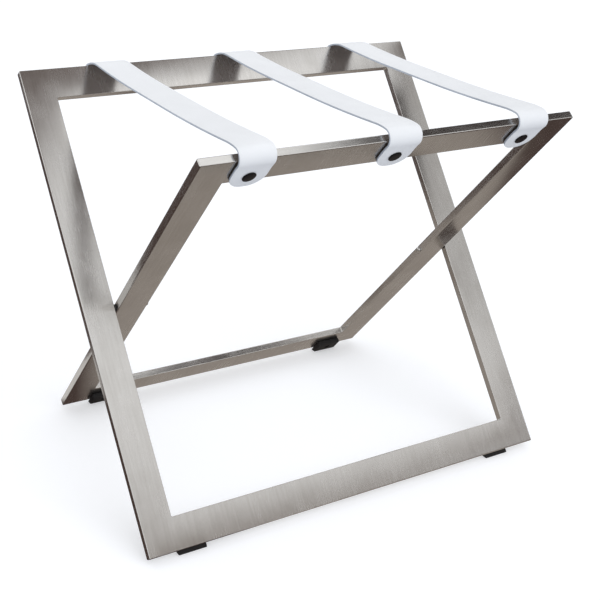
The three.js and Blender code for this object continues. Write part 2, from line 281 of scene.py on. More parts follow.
inner_steel = welded_frame("inner_frame_tube", INNER_WIDTH)
outer_steel = welded_frame("outer_frame_tube", OUTER_WIDTH)
print("frames:", [len(piece.data.polygons) for piece in (inner_steel, outer_steel)], "faces")

# %% [markdown]
# The pivot runs through bores in the legs: right through an inner leg, and a short way into an outer
# one. They are cut with the frames still flat, where the pivot is simply the X axis. The rails' narrow
# faces are brushed the other way and their steel is painted lighter, as a painted highlight, so they are
# put in a second material slot before the frames stand up.

# %% Pivot bores
INNER_BORE = 3.7 * MM
OUTER_BORE = 3.9 * MM
OUTER_BORE_DEPTH = 14.3 * MM
ACROSS = (0, math.pi / 2, 0)
DRILL_REACH = 2 * MM
LEG_FACES = 0
RAIL_EDGES = 1
# A face whose normal lies along the leg by more than this is a rail's narrow face.
ALONG_LEG = 0.6

for side in (1, -1):
    inner_leg = INNER_WIDTH / 2 - BAR_WIDTH / 2
    drill_out(inner_steel, INNER_BORE, BAR_WIDTH + DRILL_REACH, (side * inner_leg, 0, 0), ACROSS)
    outer_leg = OUTER_WIDTH / 2 - BAR_WIDTH
    drill_out(outer_steel, OUTER_BORE, 2 * OUTER_BORE_DEPTH, (side * outer_leg, 0, 0), ACROSS)

for piece in (inner_steel, outer_steel):
    for face in piece.data.polygons:
        looks_along = abs(face.normal.y) > ALONG_LEG
        face.material_index = RAIL_EDGES if looks_along else LEG_FACES
    smooth(piece)
    modify(piece, "WEIGHTED_NORMAL", keep_sharp=True)

stand = math.pi - LEG_ANGLE
for piece, turn in ((inner_steel, 0), (outer_steel, math.pi)):
    piece.location = PIVOT
    piece.rotation_euler = (stand, 0, turn)
    settle(piece)

BARS = ("left_leg", "right_leg", "top_rail", "bottom_rail")
for piece, body in ((inner_steel, "inner"), (outer_steel, "outer")):
    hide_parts(*(f"{body}_{bar}" for bar in BARS))
    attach(piece, f"{body}_frame")
    print(piece.name, "stands", [round(value, 3) for value in piece.dimensions])

# %% [markdown]
# A strap is a strip of leather, 44 mm wide and about half a metre long, with rounded ends. It is screwed
# flat to a rail, bends round the rail's top edge and springs off it in an arch. Between the two arches it
# sags a little. On the front rail, where the screw sits lower, the stiff leather first lifts off the rail's
# face and then goes round in a wide bend. Only the centres of these curves are worked out here: one for the
# lift, each bend, each arch and each slow curve down into the sag. Places on a leg are measured up from the
# pivot, and the strap's line is the middle of the leather, as far as it lies off the middle of the rail.

# %% A strap's path
STRAP_WIDTH = 44 * MM
STRAP_THICKNESS = 2.5 * MM
STRAP_CORNER = 20 * MM
STRAP_LINE = 7.65 * MM
STRAP_END = 19 * MM
STRAP_SAG = 4.5 * MM
SAG_ANGLE = math.radians(3.5)
LIFT_RADIUS = 60 * MM
# Of each end: the place of its screw, its shift to the right, where the leather leaves the flat, the angle
# of its lift, the radius of its bend, and the angle and the radius of its arch.
FRONT = {
    "screw": 289 * MM,
    "shift": -1.5 * MM,
    "leave": 300 * MM,
    "lift": math.radians(9),
    "bend": 11 * MM,
    "arch": math.radians(8),
    "radius": 100 * MM,
}
REAR = {
    "screw": 300 * MM,
    "shift": 5.5 * MM,
    "leave": 312 * MM,
    "lift": 0,
    "bend": 6.05 * MM,
    "arch": math.radians(26),
    "radius": 72 * MM,
}
STRAP_STEP = 186.5 * MM


def mirrored(point):
    """The same place at the other end of the rack."""
    return Vector((point.x, -point.y, point.z))


def outwards(turn):
    """The direction that leans to the front by this angle from upright."""
    return Vector((0, -math.sin(turn), math.cos(turn)))


for end in (FRONT, REAR):
    lift = end["lift"]
    along = end["leave"] + LIFT_RADIUS * math.sin(lift)
    off = STRAP_LINE + LIFT_RADIUS * (1 - math.cos(lift))
    end["lifted"] = on_inner_frame(0, along, off)
    along += end["bend"] * math.sin(lift)
    off -= end["bend"] * math.cos(lift)
    end["middle"] = on_inner_frame(0, along, off)
    end["turn"] = math.pi - LEG_ANGLE + lift - end["arch"]
    end["spring"] = end["middle"] + outwards(end["arch"]) * end["bend"]
    end["crown"] = end["middle"] + outwards(end["arch"]) * (end["bend"] - end["radius"])
strap_height = FRONT["crown"].z + FRONT["radius"] - STRAP_SAG
for end in (FRONT, REAR):
    drop = end["crown"].z + end["radius"] - strap_height
    end["sag_radius"] = drop / (1 - math.cos(SAG_ANGLE)) - end["radius"]
    end["fall"] = end["crown"] + outwards(-SAG_ANGLE) * end["radius"]
    end["dip"] = end["crown"] + outwards(-SAG_ANGLE) * (end["radius"] + end["sag_radius"])
    end["foot"] = end["dip"] - Vector((0, 0, end["sag_radius"]))

# %% [markdown]
# The strip starts as a plane on the front rail and grows as the real one is laid. Each curve is a spin of
# its last edge about the curve's centre, and each straight run is an extrusion. The edge to work on is the
# one that lies at the end of the path so far, so each step first picks it by its place.

# %% Strap
# The axes to spin about: over a rail towards the rear, or the other way.
TO_REAR = (1, 0, 0)
TO_FRONT = (-1, 0, 0)
LEVEL_STEPS = 12
PICK_RANGE = 0.2 * MM


def pick_end(place):
    """Picks the strip's edge that crosses this point of the path."""
    def is_there(a, b):
        middle = (a + b) / 2
        near = math.hypot(middle.y - place.y, middle.z - place.z) < PICK_RANGE
        return near and abs(a.x - b.x) > STRAP_WIDTH / 2

    pick("EDGE", is_there)


def curve_on(start, centre, turn, axis, steps):
    """Spins the strip's edge at a place about a centre."""
    pick_end(start)
    bpy.ops.mesh.spin(steps=steps, angle=turn, center=centre, axis=axis)


clear()
front_tip = FRONT["screw"] - STRAP_END
flat_length = FRONT["leave"] - front_tip
bpy.ops.mesh.primitive_plane_add(
    size=1,
    location=on_inner_frame(FRONT["shift"], front_tip + flat_length / 2, STRAP_LINE),
    rotation=(stand, 0, 0),
)
strap = named("middle_strap_leather")
strap.scale = (STRAP_WIDTH, flat_length, 1)
settle(strap)
bpy.ops.object.mode_set(mode="EDIT")

front_flat_end = on_inner_frame(0, FRONT["leave"], STRAP_LINE)
lift_middle = on_inner_frame(0, FRONT["leave"], STRAP_LINE + LIFT_RADIUS)
curve_on(front_flat_end, lift_middle, FRONT["lift"], TO_FRONT, steps=5)
curve_on(FRONT["lifted"], FRONT["middle"], FRONT["turn"], TO_REAR, steps=16)
curve_on(FRONT["spring"], FRONT["crown"], FRONT["arch"] + SAG_ANGLE, TO_REAR, steps=7)
curve_on(FRONT["fall"], FRONT["dip"], SAG_ANGLE, TO_FRONT, steps=5)
pick_end(FRONT["foot"])
level_run = mirrored(REAR["foot"]) - FRONT["foot"]
for _ in range(LEVEL_STEPS):
    bpy.ops.mesh.extrude_region_move(TRANSFORM_OT_translate={"value": level_run / LEVEL_STEPS})
curve_on(mirrored(REAR["foot"]), mirrored(REAR["dip"]), SAG_ANGLE, TO_FRONT, steps=8)
curve_on(mirrored(REAR["fall"]), mirrored(REAR["crown"]), SAG_ANGLE + REAR["arch"], TO_REAR, steps=11)
curve_on(mirrored(REAR["spring"]), mirrored(REAR["middle"]), REAR["turn"], TO_REAR, steps=10)
pick_end(mirrored(REAR["lifted"]))
rear_flat = REAR["leave"] - REAR["screw"] + STRAP_END
bpy.ops.mesh.extrude_region_move(TRANSFORM_OT_translate={"value": -mirrored(UP_LEG) * rear_flat})
print("strip drawn:", len(bmesh.from_edit_mesh(strap.data).faces), "faces")

# %% [markdown]
# The rack was photographed with its straps a little askew: the rear end of each lies a few millimetres to
# the right of its front end. The strip is moved over point by point, in proportion to how far back a point
# is between the two bends, and then the four corners are rounded off.

# %% Strap's skew and corners
HALF_SPAN = 197.6 * MM
MERGE_RANGE = 0.05 * MM

bpy.ops.object.mode_set(mode="OBJECT")
for point in strap.data.vertices:
    back = min(max(0.5 + point.co.y / (2 * HALF_SPAN), 0), 1)
    point.co.x += back * (REAR["shift"] - FRONT["shift"])
take(strap)
bpy.ops.object.mode_set(mode="EDIT")
front_height = on_inner_frame(0, front_tip, STRAP_LINE).z
rear_height = on_inner_frame(0, REAR["screw"] - STRAP_END, STRAP_LINE).z


def is_corner(point):
    """Whether a point is at one of the strip's two ends."""
    lowest = front_height if point.y < 0 else rear_height
    return point.z < lowest + MM


corners = pick("VERT", is_corner)
bpy.ops.mesh.bevel(affect="VERTICES", offset=STRAP_CORNER, segments=10)
bpy.ops.mesh.select_all(action="SELECT")
bpy.ops.mesh.remove_doubles(threshold=MERGE_RANGE)
bpy.ops.mesh.normals_make_consistent(inside=False)
bpy.ops.object.mode_set(mode="OBJECT")
print("strap strip:", len(strap.data.polygons), "faces,", corners, "corners rounded")

# %% [markdown]
# The leather gets its thickness on both sides of the strip's line. Its cut edges go into a material slot of
# their own, because they are bluer and darker than the face, and its back, which is mirrored in the rear
# rail, goes into a third. A small bevel takes the sharpness off the cut, and the screw holes are drilled
# before the strap is copied.

# %% Strap thickness and holes
STRAP_EDGE = 0.5 * MM
SCREW_BORE = 2.8 * MM
SCREW_DRILL = 6 * MM
STRAP_FACE = 0
STRAP_CUT = 1
STRAP_BACK = 2

for _ in (STRAP_FACE, STRAP_CUT, STRAP_BACK):
    strap.data.materials.append(None)
modify(
    strap,
    "SOLIDIFY",
    thickness=STRAP_THICKNESS,
    offset=0,
    use_even_offset=True,
    material_offset=STRAP_BACK,
    material_offset_rim=STRAP_CUT,
)
modify(strap, "BEVEL", width=STRAP_EDGE, segments=2, limit_method="ANGLE", angle_limit=math.radians(50))
for end, turn in ((FRONT, 0), (REAR, math.pi)):
    hole = on_inner_frame(0, end["screw"], STRAP_LINE)
    hole = hole if end is FRONT else mirrored(hole)
    hole.x = end["shift"]
    drill_out(strap, SCREW_BORE, SCREW_DRILL, hole, (stand, 0, turn))
smooth(strap)
straps = {"middle": strap}
for side, sign in (("left", -1), ("right", 1)):
    twin = copy_of(strap, f"{side}_strap_leather")
    twin.location.x = sign * STRAP_STEP
    settle(twin)
    straps[side] = twin
print("straps:", sorted(piece.name for piece in straps.values()))

# %% [markdown]
# The straps are held by black screws with wide, low heads. A head is a disc whose top face is inset and
# lifted a little at a time, which gives the slight dome, and the shank is drawn out of its underside.

# %% Strap screws
SCREW_HEAD = 8 * MM
SCREW_SEAT = 9.2 * MM
SCREW_RIM = 0.8 * MM
SCREW_SHANK = 2.5 * MM
SCREW_END = -2 * MM
SCREW_EDGE = 0.2 * MM
# Each step of the dome: how far in from the last ring, and how far up.
SCREW_DOME = ((0.5 * MM, 0.35 * MM), (1.2 * MM, 0.35 * MM), (2.0 * MM, 0.3 * MM), (2.0 * MM, 0.15 * MM))

clear()
bpy.ops.mesh.primitive_cylinder_add(
    vertices=48, radius=SCREW_HEAD, depth=SCREW_RIM, location=(0, 0, SCREW_SEAT + SCREW_RIM / 2)
)
screw = named("strap_screw")
settle(screw)
bpy.ops.object.mode_set(mode="EDIT")
pick("FACE", facing((0, 0, 1)))
for inwards, rise in SCREW_DOME:
    bpy.ops.mesh.inset(thickness=inwards, depth=rise)
pick("FACE", facing((0, 0, -1)))
bpy.ops.mesh.inset(thickness=SCREW_HEAD - SCREW_SHANK, depth=0)
bpy.ops.mesh.extrude_region_move(TRANSFORM_OT_translate={"value": (0, 0, SCREW_END - SCREW_SEAT)})
bpy.ops.object.mode_set(mode="OBJECT")
modify(screw, "BEVEL", width=SCREW_EDGE, segments=2, limit_method="ANGLE", angle_limit=math.radians(60))
smooth(screw)

screws = {}
for side, sign in (("left", -1), ("middle", 0), ("right", 1)):
    for name, end, turn in (("front", FRONT, 0), ("rear", REAR, math.pi)):
        twin = copy_of(screw, f"{name}_{side}_screw_head")
        foot_of_screw = on_inner_frame(0, end["screw"], 0)
        twin.location = mirrored(foot_of_screw) if turn else foot_of_screw
        twin.location.x = sign * STRAP_STEP + end["shift"]
        twin.rotation_euler = (stand, 0, turn)
        settle(twin)
        screws[f"{name}_{side}"] = twin
bpy.data.objects.remove(screw)
for place, piece in screws.items():
    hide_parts(f"{place}_strap_screw")
    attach(piece, "inner_frame" if place.startswith("front") else "outer_frame")
print("strap screws:", len(screws))

# %% [markdown]
# Each foot is a block of black rubber, screwed to the lower face of a bottom rail and cut level with the
# floor. A cube is set in place on the tilted face, bisected by the floor and bevelled. The hole for its
# screw is sunk so that the head never touches the floor.

# %% Feet
FOOT_SIZE = (38 * MM, 40 * MM, 7 * MM)
FOOT_SEAT = 5.3 * MM
FOOT_TOP = -276 * MM
FOOT_EDGE = 0.9 * MM
FOOT_SCREW_LEVEL = -287.17 * MM
FOOT_BORE = 2.3 * MM
FOOT_SINK = 4.3 * MM
FOOT_SINK_FLOOR = 8.4 * MM

clear()
foot_middle = on_inner_frame(0, FOOT_TOP - FOOT_SIZE[1] / 2, FOOT_SEAT + FOOT_SIZE[2] / 2)
bpy.ops.mesh.primitive_cube_add(size=1, location=foot_middle, rotation=(stand, 0, 0))
foot = named("foot_block")
foot.scale = FOOT_SIZE
settle(foot)
bpy.ops.object.mode_set(mode="EDIT")
bpy.ops.mesh.select_all(action="SELECT")
bpy.ops.mesh.bisect(plane_co=(0, 0, 0), plane_no=(0, 0, 1), use_fill=True, clear_inner=True)
bpy.ops.mesh.select_all(action="SELECT")
bpy.ops.mesh.normals_make_consistent(inside=False)
bpy.ops.object.mode_set(mode="OBJECT")
modify(foot, "BEVEL", width=FOOT_EDGE, segments=3, limit_method="ANGLE", angle_limit=math.radians(30))
through = on_inner_frame(0, FOOT_SCREW_LEVEL, FOOT_SEAT)
drill_out(foot, FOOT_BORE, 4 * FOOT_SIZE[2], through, (stand, 0, 0))
sunk = on_inner_frame(0, FOOT_SCREW_LEVEL, FOOT_SINK_FLOOR + FOOT_SIZE[2])
drill_out(foot, FOOT_SINK, 2 * FOOT_SIZE[2], sunk, (stand, 0, 0))
smooth(foot)
print("foot:", len(foot.data.polygons), "faces, drilled")

# %% [markdown]
# All four feet are the same moulding, so the block is copied to both ends of the two bottom rails. On the
# outer frame it is turned half round, because that rail leans the other way.

# %% Feet on the rails
INNER_FOOT = INNER_WIDTH / 2 - BAR_WIDTH - FOOT_SIZE[0] / 2
OUTER_FOOT = OUTER_WIDTH / 2 - BAR_WIDTH - FOOT_SIZE[0] / 2
for body, place, turn in (("inner", INNER_FOOT, 0), ("outer", OUTER_FOOT, math.pi)):
    for side, sign in (("left", -1), ("right", 1)):
        twin = copy_of(foot, f"{body}_{side}_foot_pad")
        twin.rotation_euler = (0, 0, turn)
        twin.location.x = sign * place
        settle(twin)
        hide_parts(f"{body}_{side}_foot")
        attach(twin, f"{body}_frame")
bpy.data.objects.remove(foot)
print("feet at", round(INNER_FOOT, 4), round(OUTER_FOOT, 4))

# %% [markdown]
# The two frames turn on a pair of bolts. A bolt has a low button head with a socket for a hexagon key, on
# the inside of the inner leg, and its shank crosses into the outer leg. A cylinder makes the shank, its
# inner end is drawn out and widened into the head, and a six-sided cutter makes the socket.

# %% Pivot bolts
BOLT_SHANK = 2.5 * MM
BOLT_HEAD = 4.3 * MM
BOLT_HEAD_HEIGHT = 2.8 * MM
BOLT_SEAT = 212.2 * MM
BOLT_END = 269 * MM
KEY_RADIUS = 1.75 * MM
KEY_DEPTH = 1.6 * MM
# Each step of the dome: its share of the head's height, and the size of its ring against the last one.
BOLT_DOME = ((0.3, 0.98), (0.3, 0.9), (0.25, 0.78), (0.15, 0.62))

clear()
bpy.ops.mesh.primitive_cylinder_add(
    vertices=32,
    radius=BOLT_SHANK,
    depth=BOLT_END - BOLT_SEAT,
    location=((BOLT_SEAT + BOLT_END) / 2, 0, PIVOT_HEIGHT),
    rotation=ACROSS,
)
bolt = named("right_bolt_body")
settle(bolt)
bpy.ops.object.mode_set(mode="EDIT")


def widen(ratio):
    """Scales the picked face about the pivot's axis."""
    bpy.ops.transform.resize(value=(1, ratio, ratio), center_override=PIVOT)


pick("FACE", facing((-1, 0, 0)))
bpy.ops.mesh.extrude_region_move(TRANSFORM_OT_translate={"value": (0, 0, 0)})
widen(BOLT_HEAD / BOLT_SHANK)
for share, ratio in BOLT_DOME:
    bpy.ops.mesh.extrude_region_move(TRANSFORM_OT_translate={"value": (-share * BOLT_HEAD_HEIGHT, 0, 0)})
    widen(ratio)
bpy.ops.mesh.select_all(action="SELECT")
bpy.ops.mesh.normals_make_consistent(inside=False)
bpy.ops.object.mode_set(mode="OBJECT")
head_top = (BOLT_SEAT - BOLT_HEAD_HEIGHT, 0, PIVOT_HEIGHT)
drill_out(bolt, KEY_RADIUS, 2 * KEY_DEPTH, head_top, ACROSS, sides=6)
smooth(bolt, 30)
bolts = {"right": bolt, "left": copy_of(bolt, "left_bolt_body")}
bolts["left"].rotation_euler = (0, 0, math.pi)
settle(bolts["left"])
for side, piece in bolts.items():
    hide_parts(f"{side}_pivot_bolt")
    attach(piece, "outer_frame")
print("pivot bolts:", [len(piece.data.polygons) for piece in bolts.values()], "faces")

# %% [markdown]
# The model's strap solids are hidden, and each new strap has its place put into its mesh.

# %% Straps on the frames
for side, piece in straps.items():
    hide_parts(f"{side}_strap")
    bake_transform(piece)

# %% [markdown]
# Materials come next, and they are made of nodes. These helpers add a node, spread a value over a range, mix
# two colours by a value, calculate, and raise the surface a little, so that each finish below stays short.

# %% Node helpers
NOISE_LOW = 0.3
NOISE_HIGH = 0.7


def new_material(name):
    """A new material, with its node tree and its shader."""
    material = bpy.data.materials.new(name)
    material.use_nodes = True
    tree = material.node_tree
    return material, tree, tree.nodes["Principled BSDF"]


def add_node(tree, kind, **values):
    """Adds a node. Values are set on its sockets by name, or on the node itself."""
    node = tree.nodes.new(kind)
    for key, value in values.items():
        title = key.replace("_", " ").title()
        if title in node.inputs:
            node.inputs[title].default_value = value
        else:
            setattr(node, key, value)
    return node


def remap(tree, value, low, high, from_low=0.0, from_high=1.0):
    """A value spread from one range to another."""
    node = add_node(tree, "ShaderNodeMapRange")
    node.inputs["From Min"].default_value = from_low
    node.inputs["From Max"].default_value = from_high
    node.inputs["To Min"].default_value = low
    node.inputs["To Max"].default_value = high
    tree.links.new(value, node.inputs["Value"])
    return node.outputs["Result"]


def spread(tree, noise, low, high):
    """A noise, most of which lies between two values, spread over a range."""
    return remap(tree, noise, low, high, NOISE_LOW, NOISE_HIGH)


def calculate(tree, operation, *operands):
    """One step of arithmetic. An operand is a socket or a number."""
    node = add_node(tree, "ShaderNodeMath", operation=operation)
    for socket, operand in zip(node.inputs, operands):
        if isinstance(operand, bpy.types.NodeSocket):
            tree.links.new(operand, socket)
        else:
            socket.default_value = operand
    return node.outputs[0]


def blend_colours(tree, value, first, second):
    """A colour between two, by a value."""
    node = tree.nodes.new("ShaderNodeMix")
    node.data_type = "RGBA"
    colours = [socket for socket in node.inputs if socket.type == "RGBA"]
    colours[0].default_value = (*first, 1)
    colours[1].default_value = (*second, 1)
    tree.links.new(value, node.inputs["Factor"])
    return next(socket for socket in node.outputs if socket.type == "RGBA")


def bump(tree, shader, height, strength, distance):
    """Raises the surface a little by a height."""
    node = tree.nodes.new("ShaderNodeBump")
    node.inputs["Strength"].default_value = strength
    node.inputs["Distance"].default_value = distance
    tree.links.new(height, node.inputs["Height"])
    tree.links.new(node.outputs["Normal"], shader.inputs["Normal"])
    return node


# %% [markdown]
# Brushed steel is the main finish, and its grain has three layers: fine scratches, streaks a few millimetres
# wide, and slow clouds where the polishing belt pressed harder. All three are one noise at different scales,
# drawn out along Y. The rails' narrow faces have the same grain, turned the other way, so the grain is a
# node group.

# %% Brushed grain
# Of each layer: its scale per metre across the leg, how it is drawn out, and how much detail its noise has.
GRAIN_LAYERS = {
    "Scratches": {"across": 1500, "stretch": 0.03, "detail": 2},
    "Streaks": {"across": 330, "stretch": 0.06, "detail": 0},
    "Clouds": {"across": 24, "stretch": 0.9, "detail": 2},
}


def make_grain():
    """Noise drawn out along Y, at the scales of the layers."""
    group = bpy.data.node_groups.new("brushed_grain", "ShaderNodeTree")
    group.interface.new_socket("Vector", in_out="INPUT", socket_type="NodeSocketVector")
    entry = group.nodes.new("NodeGroupInput")
    leave = group.nodes.new("NodeGroupOutput")
    for title, layer in GRAIN_LAYERS.items():
        group.interface.new_socket(title, in_out="OUTPUT", socket_type="NodeSocketFloat")
        stretch = add_node(group, "ShaderNodeVectorMath", operation="MULTIPLY")
        stretch.inputs[1].default_value = (1, layer["stretch"], 1)
        noise = add_node(group, "ShaderNodeTexNoise", scale=layer["across"], detail=layer["detail"])
        group.links.new(entry.outputs["Vector"], stretch.inputs[0])
        group.links.new(stretch.outputs[0], noise.inputs["Vector"])
        group.links.new(noise.outputs["Fac"], leave.inputs[title])
    return group


grain = make_grain()
print("grain layers:", [socket.name for socket in grain.interface.items_tree])

# %% [markdown]
# Each frame has the grain along its own legs, also across its rails, because the welded frame is brushed
# as a whole. The belt also takes a little more off towards the edges of a bar, so its wide face is very
# slightly crowned: that is what makes a reflection fade across a bar only 40 mm wide. Object coordinates
# are turned by the leg's angle, so that Y runs along the leg from the frame's middle.

# %% Brushed steel
STEEL_PALE = (0.67, 0.66, 0.645)
STEEL_DEEP = (0.55, 0.535, 0.515)
# The rails' narrow faces: the same steel painted lighter, a painted highlight on those faces.
EDGE_PALE_PAINTED_LIGHT = (0.78, 0.77, 0.755)
EDGE_DEEP_PAINTED_LIGHT = (0.68, 0.67, 0.65)
CROWN_TILT = math.radians(3)
CORNER_BLEND = 25 * MM
FRAME_MIDDLE = PIVOT_HEIGHT * math.sin(LEG_ANGLE) + (LEG_ABOVE - LEG_BELOW) / 2
FRAME_HALF = (LEG_ABOVE + LEG_BELOW) / 2
STREAK_SHARE = 0.25
STREAK_DEPTH = 0.1 * MM
STREAK_STRENGTH = 0.05
SMOOTHEST = 0.17
ROUGHEST = 0.25
SCRATCH_ROUGHNESS = 0.06


def crown_height(tree, place, half_width):
    """The crown of the wide faces: a parabola across each bar, from the distance to the outer edge."""
    split = add_node(tree, "ShaderNodeSeparateXYZ")
    tree.links.new(place, split.inputs[0])
    from_side = calculate(tree, "SUBTRACT", half_width, calculate(tree, "ABSOLUTE", split.outputs["X"]))
    from_end = calculate(tree, "SUBTRACT", FRAME_HALF, calculate(tree, "ABSOLUTE", split.outputs["Y"]))
    inwards = calculate(tree, "SMOOTH_MIN", from_side, from_end, CORNER_BLEND)
    off_middle = calculate(tree, "SUBTRACT", inwards, BAR_WIDTH / 2)
    square = calculate(tree, "MULTIPLY", off_middle, off_middle)
    return calculate(tree, "MULTIPLY", square, -math.tan(CROWN_TILT) / BAR_WIDTH)


def brushed_steel(name, pale, deep, turn, shift, half_width=None):
    """Brushed steel with its grain turned to lie along the bar, and a crown where a width is given."""
    material, tree, shader = new_material(name)
    place = add_node(tree, "ShaderNodeTexCoord")
    mapping = add_node(tree, "ShaderNodeMapping")
    mapping.inputs["Rotation"].default_value = turn
    mapping.inputs["Location"].default_value = shift
    tree.links.new(place.outputs["Object"], mapping.inputs["Vector"])
    brushed = tree.nodes.new("ShaderNodeGroup")
    brushed.node_tree = grain
    tree.links.new(mapping.outputs["Vector"], brushed.inputs["Vector"])

    streaks = spread(tree, brushed.outputs["Streaks"], 0, STREAK_SHARE)
    clouds = spread(tree, brushed.outputs["Clouds"], 0, 1 - STREAK_SHARE)
    tone = calculate(tree, "ADD", streaks, clouds)
    tree.links.new(blend_colours(tree, tone, deep, pale), shader.inputs["Base Color"])
    shader.inputs["Metallic"].default_value = 1
    worn = spread(tree, brushed.outputs["Clouds"], SMOOTHEST, ROUGHEST)
    scratched = spread(tree, brushed.outputs["Scratches"], 0, SCRATCH_ROUGHNESS)
    tree.links.new(calculate(tree, "ADD", worn, scratched), shader.inputs["Roughness"])

    fine = bump(tree, shader, brushed.outputs["Streaks"], STREAK_STRENGTH, STREAK_DEPTH)
    if half_width:
        crown = add_node(tree, "ShaderNodeBump", strength=1, distance=1)
        tree.links.new(crown_height(tree, mapping.outputs["Vector"], half_width), crown.inputs["Height"])
        tree.links.new(crown.outputs["Normal"], fine.inputs["Normal"])
    return material


inner_grain = brushed_steel(
    "steel_inner_frame", STEEL_PALE, STEEL_DEEP, (LEG_ANGLE, 0, 0), (0, FRAME_MIDDLE, 0), INNER_WIDTH / 2
)
outer_grain = brushed_steel(
    "steel_outer_frame", STEEL_PALE, STEEL_DEEP, (-LEG_ANGLE, 0, 0), (0, -FRAME_MIDDLE, 0), OUTER_WIDTH / 2
)
# The lighter steel of the rails' narrow faces is painted light, not a different metal.
rail_grain_painted_light = brushed_steel("steel_rail_edge", EDGE_PALE_PAINTED_LIGHT, EDGE_DEEP_PAINTED_LIGHT, (0, 0, math.pi / 2), (0, 0, 0))
for piece, finish in ((inner_steel, inner_grain), (outer_steel, outer_grain)):
    piece.data.materials.append(finish)
    piece.data.materials.append(rail_grain_painted_light)
print("steel:", inner_grain.name, outer_grain.name, rail_grain_painted_light.name)

# %% [markdown]
# The straps are white leather with a smooth, closed grain. The surface is matt, a little blue, and almost
# even: the pores show only as a fine roughness. The cut edges are a darker, greyer blue, and the back is
# a dark brown, which makes its reflection in the rear rail dark.

# %% Leather
TONE_SCALE = 35
LEATHER_SMOOTHEST = 0.52
LEATHER_ROUGHEST = 0.62
LEATHER_SPECULAR = 0.35
PORE_STRENGTH = 0.15


def white_leather(name, pale, deep, pore_size, pore_depth):
    """Leather with fine pores and a slow change of tone."""
    material, tree, shader = new_material(name)
    place = add_node(tree, "ShaderNodeTexCoord")
    pores = add_node(tree, "ShaderNodeTexVoronoi", scale=1 / pore_size)
    pores.feature = "SMOOTH_F1"
    tone = add_node(tree, "ShaderNodeTexNoise", scale=TONE_SCALE, detail=4)
    tree.links.new(place.outputs["Object"], pores.inputs["Vector"])
    tree.links.new(place.outputs["Object"], tone.inputs["Vector"])
    colour = blend_colours(tree, spread(tree, tone.outputs["Fac"], 0, 1), deep, pale)
    tree.links.new(colour, shader.inputs["Base Color"])
    rough = spread(tree, tone.outputs["Fac"], LEATHER_SMOOTHEST, LEATHER_ROUGHEST)
    tree.links.new(rough, shader.inputs["Roughness"])
    shader.inputs["Specular IOR Level"].default_value = LEATHER_SPECULAR
    bump(tree, shader, pores.outputs["Distance"], PORE_STRENGTH, pore_depth)
    return material


leather_face = white_leather(
    "strap_leather_face",
    (0.85, 0.875, 0.915),
    (0.825, 0.85, 0.89),
    pore_size=1.1 * MM,
    pore_depth=0.08 * MM,
)
leather_edge = white_leather(
    "strap_cut_edge",
    (0.56, 0.61, 0.69),
    (0.46, 0.51, 0.59),
    pore_size=0.6 * MM,
    pore_depth=0.1 * MM,
)
leather_back = white_leather(
    "strap_raw_back",
    (0.36, 0.315, 0.295),
    (0.28, 0.245, 0.23),
    pore_size=0.9 * MM,
    pore_depth=0.2 * MM,
)
for piece in straps.values():
    piece.data.materials[STRAP_FACE] = leather_face
    piece.data.materials[STRAP_CUT] = leather_edge
    piece.data.materials[STRAP_BACK] = leather_back
upper = [face for face in strap.data.polygons if face.normal.z > FACING and abs(face.center.y) < 100 * MM]
print("leather on", len(straps), "straps, upper side in slot", {face.material_index for face in upper})

# %% [markdown]
# The small black parts differ by their shine: the screws are satin, the rubber is dull and slightly
# dusty, and the nylon of the spacers lies between. The bolts and the hidden inserts are plain bright
# steel. A speckle of noise keeps each from being one flat colour.

# %% Small parts
SHINE_SPREAD = 0.06
SPECK_STRENGTH = 0.1


def plain_finish(name, dark, light, roughness, speck, metallic=0, specular=0.5):
    """An even finish with a fine speckle in its colour and its shine."""
    material, tree, shader = new_material(name)
    place = add_node(tree, "ShaderNodeTexCoord")
    noise = add_node(tree, "ShaderNodeTexNoise", scale=1 / speck, detail=3)
    tree.links.new(place.outputs["Object"], noise.inputs["Vector"])
    colour = blend_colours(tree, spread(tree, noise.outputs["Fac"], 0, 1), dark, light)
    tree.links.new(colour, shader.inputs["Base Color"])
    rough = spread(tree, noise.outputs["Fac"], roughness - SHINE_SPREAD, roughness + SHINE_SPREAD)
    tree.links.new(rough, shader.inputs["Roughness"])
    shader.inputs["Metallic"].default_value = metallic
    shader.inputs["Specular IOR Level"].default_value = specular
    bump(tree, shader, noise.outputs["Fac"], SPECK_STRENGTH, speck / 20)
    return material


finishes = {
    "black_screw": plain_finish(
        "satin_black_screw",
        (0.006, 0.005, 0.006),
        (0.012, 0.010, 0.011),
        roughness=0.45,
        speck=1.2 * MM,
        specular=0.2,
    ),
    "foot_rubber": plain_finish(
        "dull_rubber",
        (0.006, 0.006, 0.007),
        (0.016, 0.015, 0.015),
        roughness=0.75,
        speck=0.8 * MM,
    ),
    "black_nylon": plain_finish(
        "black_nylon",
        (0.010, 0.010, 0.011),
        (0.02, 0.02, 0.021),
        roughness=0.5,
        speck=1 * MM,
    ),
    "bright_steel": plain_finish(
        "bright_steel",
        (0.50, 0.49, 0.47),
        (0.66, 0.65, 0.63),
        roughness=0.25,
        speck=1.5 * MM,
        metallic=1,
    ),
}
slot_of = {part["node"]: part["material_slot"] for part in frame["record"]["subparts"]}
dressed = 0
for node, solid in frame["nodes"].items():
    finish = finishes.get(slot_of[node])
    if finish:
        solid.data.materials.clear()
        solid.data.materials.append(finish)
        dressed += 1
new_parts = {"_screw_head": "black_screw", "_foot_pad": "foot_rubber", "_bolt_body": "bright_steel"}
for piece in bpy.data.objects:
    for ending, kind in new_parts.items():
        if piece.name.endswith(ending):
            piece.data.materials.clear()
            piece.data.materials.append(finishes[kind])
            dressed += 1
print("small parts with a finish:", dressed)

# %% [markdown]
# The rack stands on a plain floor in soft light. Seen by the camera, the floor and the air behind it are
# white, and so is the air that the steel mirrors. The floor is lit as well as glowing, so that the rack's
# shadow still shows on it and some light comes back up to the undersides. Its own colour is slightly blue,
# which gives the ends of the straps their cool shade.

